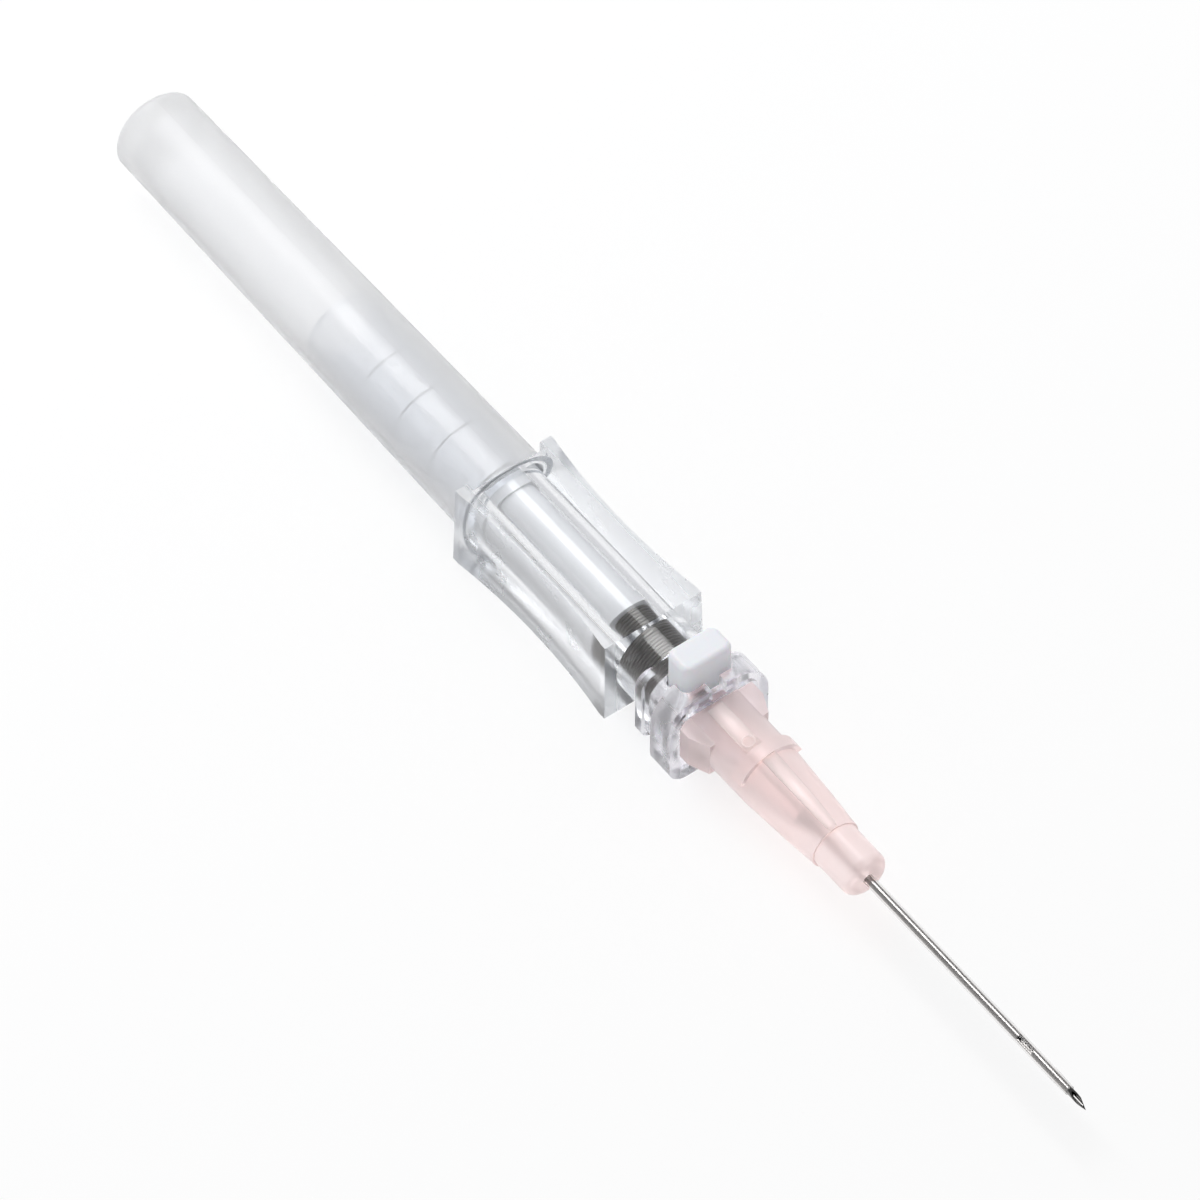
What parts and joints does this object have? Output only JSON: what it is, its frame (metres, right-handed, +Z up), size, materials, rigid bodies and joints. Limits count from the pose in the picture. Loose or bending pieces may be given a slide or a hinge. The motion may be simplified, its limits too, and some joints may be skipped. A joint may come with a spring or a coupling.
{
  "type": "iv cannula",
  "caption": "Safety IV cannula: pink-hubbed catheter on a steel needle, clear grip with a white button that lets a spring pull the needle back into the barrel.",
  "frame": {"origin": "on the surface that the cannula lies on, under the middle of its length", "axes": "+X along the needle axis towards the tip, +Z up, on the button's side"},
  "size_m": [0.1498, 0.012, 0.0137],
  "materials": {
    "clear_plastic": "clear moulded plastic, glossy",
    "white_plastic": "matt white",
    "spring_steel": "dark drawn wire",
    "frosted_plastic": "translucent, natural",
    "needle_steel": "polished stainless steel",
    "adhesive": "clear cured bead",
    "pink_plastic": "translucent pink",
    "catheter_plastic": "thin translucent tube"
  },
  "bodies": {
    "handle": {"barrel": "clear_plastic", "grip_housing": "clear_plastic", "retraction_spring": "spring_steel"},
    "button": {"push_button": "white_plastic"},
    "needle_unit": {"needle_carrier": "frosted_plastic", "vent_plug": "white_plastic", "needle": "needle_steel", "needle_bead": "adhesive"},
    "catheter": {"catheter_hub": "pink_plastic", "catheter_tube": "catheter_plastic", "catheter_wedge": "needle_steel"}
  },
  "joints": [
    {"name": "needle_retract", "type": "slide", "parent": "handle", "child": "needle_unit", "axis": [-1, 0, 0], "range_m": [0, 0.0578], "deforming": ["retraction_spring"]},
    {"name": "button_press", "type": "slide", "parent": "handle", "child": "button", "axis": [0, 0, -1], "range_m": [0, 0.0014]},
    {"name": "catheter_advance", "type": "slide", "parent": "handle", "child": "catheter", "axis": [1, 0, 0], "range_m": [0, 0.06]}
  ],
  "couplings": [
    {"joint": "button_press", "follows": "needle_retract", "ratio": 0.0242}
  ]
}
